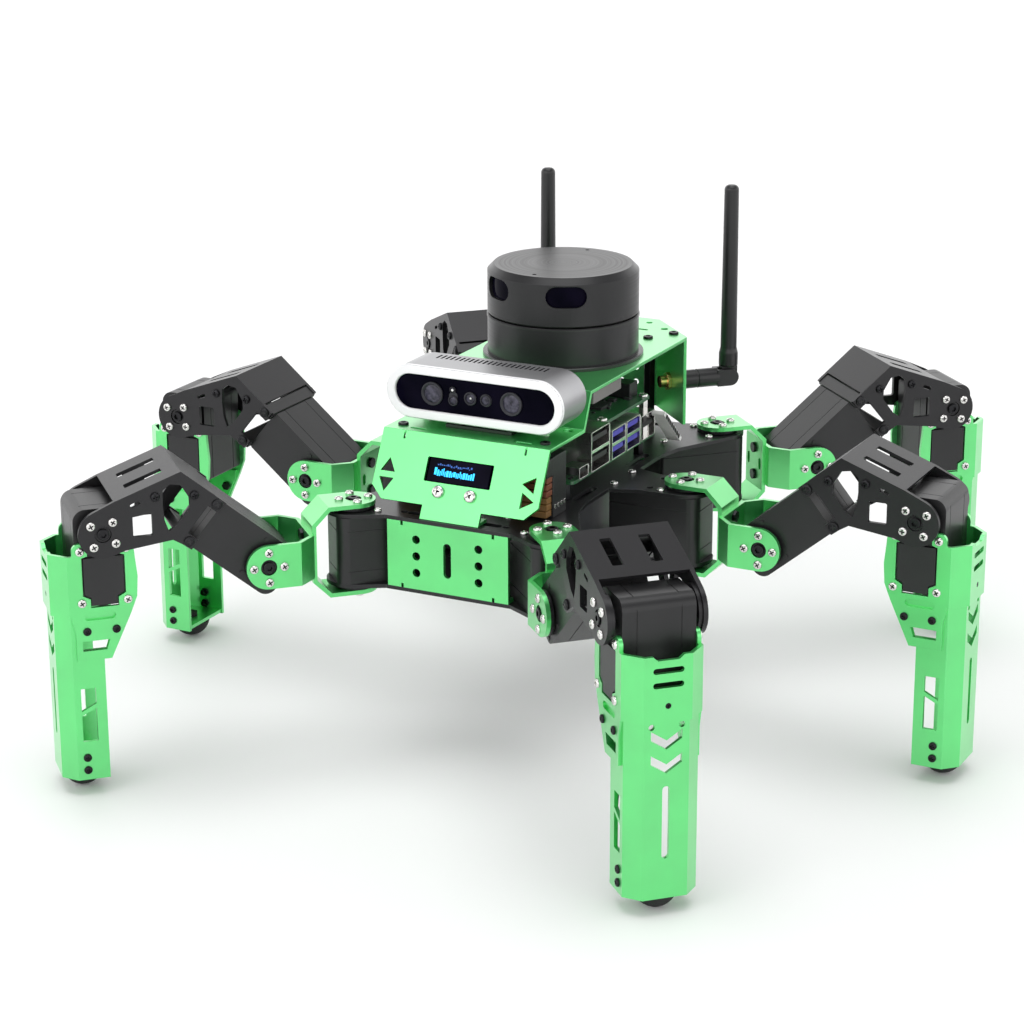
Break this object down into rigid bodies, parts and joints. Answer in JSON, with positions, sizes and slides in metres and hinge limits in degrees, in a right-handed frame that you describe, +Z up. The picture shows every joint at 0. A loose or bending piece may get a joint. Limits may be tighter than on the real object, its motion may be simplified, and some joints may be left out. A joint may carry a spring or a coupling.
{
  "type": "hexapod walking robot",
  "caption": "Six-legged walking robot with bent sheet-metal legs, a spinning lidar, a depth camera, a small display and two folding antennas.",
  "frame": {"origin": "on the floor, midway between the six hips", "axes": "+X the robot's left, -Y its front, +Z up"},
  "size_m": [0.437, 0.4094, 0.2422],
  "materials": {
    "green_sheet": "bright light-green anodised, satin",
    "black_sheet": "black anodised, satin",
    "servo_case": "black anodised and moulded case, satin",
    "horn_metal": "black anodised turned discs with bright steel screws",
    "steel": "nickel-plated spacers",
    "circuit_board": "circuit board with its modules, dark green",
    "battery_wrap": "grey shrink wrap",
    "display_glass": "black display glass on its board",
    "camera_shell": "bead-blasted silver shell, black front window",
    "lidar_case": "fine-textured black",
    "brass": "plated coaxial connector",
    "antenna_plastic": "matte black moulded rubber",
    "rubber": "matte black rubber"
  },
  "bodies": {
    "chassis": {"chassis_top_plate": "black_sheet", "chassis_bottom_plate": "black_sheet", "end_panels": "green_sheet", "hip_servos": "servo_case", "upper_deck": "green_sheet", "deck_hardware": "steel", "computer_board": "circuit_board", "battery_pack": "battery_wrap", "display_module": "display_glass", "camera_mount": "black_sheet", "depth_camera": "camera_shell", "lidar_base": "lidar_case", "antenna_connectors": "brass"},
    "front_left_coxa": {"front_left_coxa_bracket": "green_sheet", "front_left_coxa_horns": "horn_metal"},
    "front_left_femur": {"front_left_femur_servo": "servo_case", "front_left_femur_frame": "black_sheet"},
    "front_left_tibia": {"front_left_knee_servo": "servo_case", "front_left_tibia_shell": "green_sheet", "front_left_foot": "rubber"},
    "mid_left_coxa": {"mid_left_coxa_bracket": "green_sheet", "mid_left_coxa_horns": "horn_metal"},
    "mid_left_femur": {"mid_left_femur_servo": "servo_case", "mid_left_femur_frame": "black_sheet"},
    "mid_left_tibia": {"mid_left_knee_servo": "servo_case", "mid_left_tibia_shell": "green_sheet", "mid_left_foot": "rubber"},
    "rear_left_coxa": {"rear_left_coxa_bracket": "green_sheet", "rear_left_coxa_horns": "horn_metal"},
    "rear_left_femur": {"rear_left_femur_servo": "servo_case", "rear_left_femur_frame": "black_sheet"},
    "rear_left_tibia": {"rear_left_knee_servo": "servo_case", "rear_left_tibia_shell": "green_sheet", "rear_left_foot": "rubber"},
    "front_right_coxa": {"front_right_coxa_bracket": "green_sheet", "front_right_coxa_horns": "horn_metal"},
    "front_right_femur": {"front_right_femur_servo": "servo_case", "front_right_femur_frame": "black_sheet"},
    "front_right_tibia": {"front_right_knee_servo": "servo_case", "front_right_tibia_shell": "green_sheet", "front_right_foot": "rubber"},
    "mid_right_coxa": {"mid_right_coxa_bracket": "green_sheet", "mid_right_coxa_horns": "horn_metal"},
    "mid_right_femur": {"mid_right_femur_servo": "servo_case", "mid_right_femur_frame": "black_sheet"},
    "mid_right_tibia": {"mid_right_knee_servo": "servo_case", "mid_right_tibia_shell": "green_sheet", "mid_right_foot": "rubber"},
    "rear_right_coxa": {"rear_right_coxa_bracket": "green_sheet", "rear_right_coxa_horns": "horn_metal"},
    "rear_right_femur": {"rear_right_femur_servo": "servo_case", "rear_right_femur_frame": "black_sheet"},
    "rear_right_tibia": {"rear_right_knee_servo": "servo_case", "rear_right_tibia_shell": "green_sheet", "rear_right_foot": "rubber"},
    "lidar_rotor": {"lidar_head": "lidar_case"},
    "antenna_left_swivel": {"antenna_left_elbow": "antenna_plastic"},
    "antenna_left_stalk": {"antenna_left": "antenna_plastic"},
    "antenna_right_swivel": {"antenna_right_elbow": "antenna_plastic"},
    "antenna_right_stalk": {"antenna_right": "antenna_plastic"}
  },
  "joints": [
    {"name": "front_left_yaw", "type": "hinge", "parent": "chassis", "child": "front_left_coxa", "pos_m": [0.051, -0.0945, 0.102], "axis": [0, 0, 1], "range_deg": [-40, 40]},
    {"name": "front_left_pitch", "type": "hinge", "parent": "front_left_coxa", "child": "front_left_femur", "pos_m": [0.08332, -0.12682, 0.102], "axis": [0.7071, 0.7071, 0], "range_deg": [-45, 40]},
    {"name": "front_left_knee", "type": "hinge", "parent": "front_left_femur", "child": "front_left_tibia", "pos_m": [0.13586, -0.17936, 0.12571], "axis": [0.7071, 0.7071, 0], "range_deg": [-60, 50]},
    {"name": "mid_left_yaw", "type": "hinge", "parent": "chassis", "child": "mid_left_coxa", "pos_m": [0.075, 0, 0.102], "axis": [0, 0, 1], "range_deg": [-40, 40]},
    {"name": "mid_left_pitch", "type": "hinge", "parent": "mid_left_coxa", "child": "mid_left_femur", "pos_m": [0.1207, 0, 0.102], "axis": [0, 1, 0], "range_deg": [-45, 40]},
    {"name": "mid_left_knee", "type": "hinge", "parent": "mid_left_femur", "child": "mid_left_tibia", "pos_m": [0.19501, 0, 0.12571], "axis": [0, 1, 0], "range_deg": [-60, 50]},
    {"name": "rear_left_yaw", "type": "hinge", "parent": "chassis", "child": "rear_left_coxa", "pos_m": [0.051, 0.0945, 0.102], "axis": [0, 0, 1], "range_deg": [-40, 40]},
    {"name": "rear_left_pitch", "type": "hinge", "parent": "rear_left_coxa", "child": "rear_left_femur", "pos_m": [0.08332, 0.12682, 0.102], "axis": [-0.7071, 0.7071, 0], "range_deg": [-45, 40]},
    {"name": "rear_left_knee", "type": "hinge", "parent": "rear_left_femur", "child": "rear_left_tibia", "pos_m": [0.13586, 0.17936, 0.12571], "axis": [-0.7071, 0.7071, 0], "range_deg": [-60, 50]},
    {"name": "front_right_yaw", "type": "hinge", "parent": "chassis", "child": "front_right_coxa", "pos_m": [-0.051, -0.0945, 0.102], "axis": [0, 0, 1], "range_deg": [-40, 40]},
    {"name": "front_right_pitch", "type": "hinge", "parent": "front_right_coxa", "child": "front_right_femur", "pos_m": [-0.08332, -0.12682, 0.102], "axis": [0.7071, -0.7071, 0], "range_deg": [-45, 40]},
    {"name": "front_right_knee", "type": "hinge", "parent": "front_right_femur", "child": "front_right_tibia", "pos_m": [-0.13586, -0.17936, 0.12571], "axis": [0.7071, -0.7071, 0], "range_deg": [-60, 50]},
    {"name": "mid_right_yaw", "type": "hinge", "parent": "chassis", "child": "mid_right_coxa", "pos_m": [-0.075, 0, 0.102], "axis": [0, 0, 1], "range_deg": [-40, 40]},
    {"name": "mid_right_pitch", "type": "hinge", "parent": "mid_right_coxa", "child": "mid_right_femur", "pos_m": [-0.1207, 0, 0.102], "axis": [0, -1, 0], "range_deg": [-45, 40]},
    {"name": "mid_right_knee", "type": "hinge", "parent": "mid_right_femur", "child": "mid_right_tibia", "pos_m": [-0.19501, 0, 0.12571], "axis": [0, -1, 0], "range_deg": [-60, 50]},
    {"name": "rear_right_yaw", "type": "hinge", "parent": "chassis", "child": "rear_right_coxa", "pos_m": [-0.051, 0.0945, 0.102], "axis": [0, 0, 1], "range_deg": [-40, 40]},
    {"name": "rear_right_pitch", "type": "hinge", "parent": "rear_right_coxa", "child": "rear_right_femur", "pos_m": [-0.08332, 0.12682, 0.102], "axis": [-0.7071, -0.7071, 0], "range_deg": [-45, 40]},
    {"name": "rear_right_knee", "type": "hinge", "parent": "rear_right_femur", "child": "rear_right_tibia", "pos_m": [-0.13586, 0.17936, 0.12571], "axis": [-0.7071, -0.7071, 0], "range_deg": [-60, 50]},
    {"name": "lidar_spin", "type": "hinge", "parent": "chassis", "child": "lidar_rotor", "pos_m": [0, 0.0218, 0.1923], "axis": [0, 0, 1], "continuous": true},
    {"name": "antenna_left_turn", "type": "hinge", "parent": "chassis", "child": "antenna_left_swivel", "pos_m": [0.0342, 0.0922, 0.1448], "axis": [0.7071, 0.7071, 0], "range_deg": [-40, 40]},
    {"name": "antenna_left_fold", "type": "hinge", "parent": "antenna_left_swivel", "child": "antenna_left_stalk", "pos_m": [0.05046, 0.10846, 0.1448], "axis": [-0.7071, 0.7071, 0], "range_deg": [0, 65]},
    {"name": "antenna_right_turn", "type": "hinge", "parent": "chassis", "child": "antenna_right_swivel", "pos_m": [-0.0342, 0.0922, 0.1448], "axis": [-0.7071, 0.7071, 0], "range_deg": [-40, 40]},
    {"name": "antenna_right_fold", "type": "hinge", "parent": "antenna_right_swivel", "child": "antenna_right_stalk", "pos_m": [-0.05046, 0.10846, 0.1448], "axis": [-0.7071, -0.7071, 0], "range_deg": [0, 65]}
  ]
}
